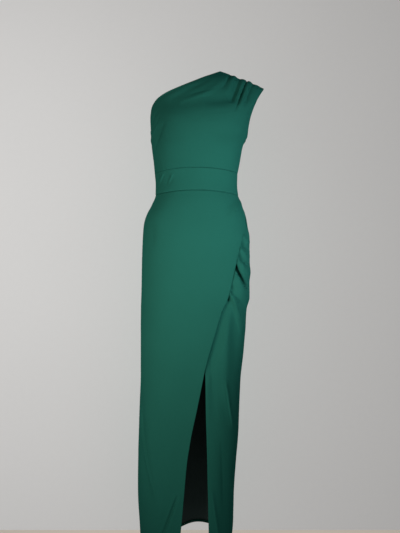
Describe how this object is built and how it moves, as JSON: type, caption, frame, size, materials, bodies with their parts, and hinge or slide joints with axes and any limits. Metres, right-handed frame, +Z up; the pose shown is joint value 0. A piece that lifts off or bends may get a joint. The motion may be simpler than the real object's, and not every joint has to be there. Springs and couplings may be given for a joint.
{
  "type": "one-shoulder dress",
  "caption": "Long one-shoulder dress in its hollow worn form, with a pleated shoulder, a shaped waistband and a wrap-over skirt with a gathered hip and a front slit.",
  "frame": {"origin": "top of the left shoulder, where the wearer holds the dress up", "axes": "+Z up, the front faces -Y, +X is the wearer's left"},
  "size_m": [0.3637, 0.2551, 1.3716],
  "materials": {
    "crepe": "smooth stretch crepe with a soft sheen"
  },
  "bodies": {
    "root": {"bodice_front": "crepe", "bodice_back": "crepe", "waistband_front": "crepe", "waistband_back": "crepe", "skirt_overlay": "crepe", "skirt_underlap": "crepe", "skirt_back": "crepe"}
  },
  "joints": []
}
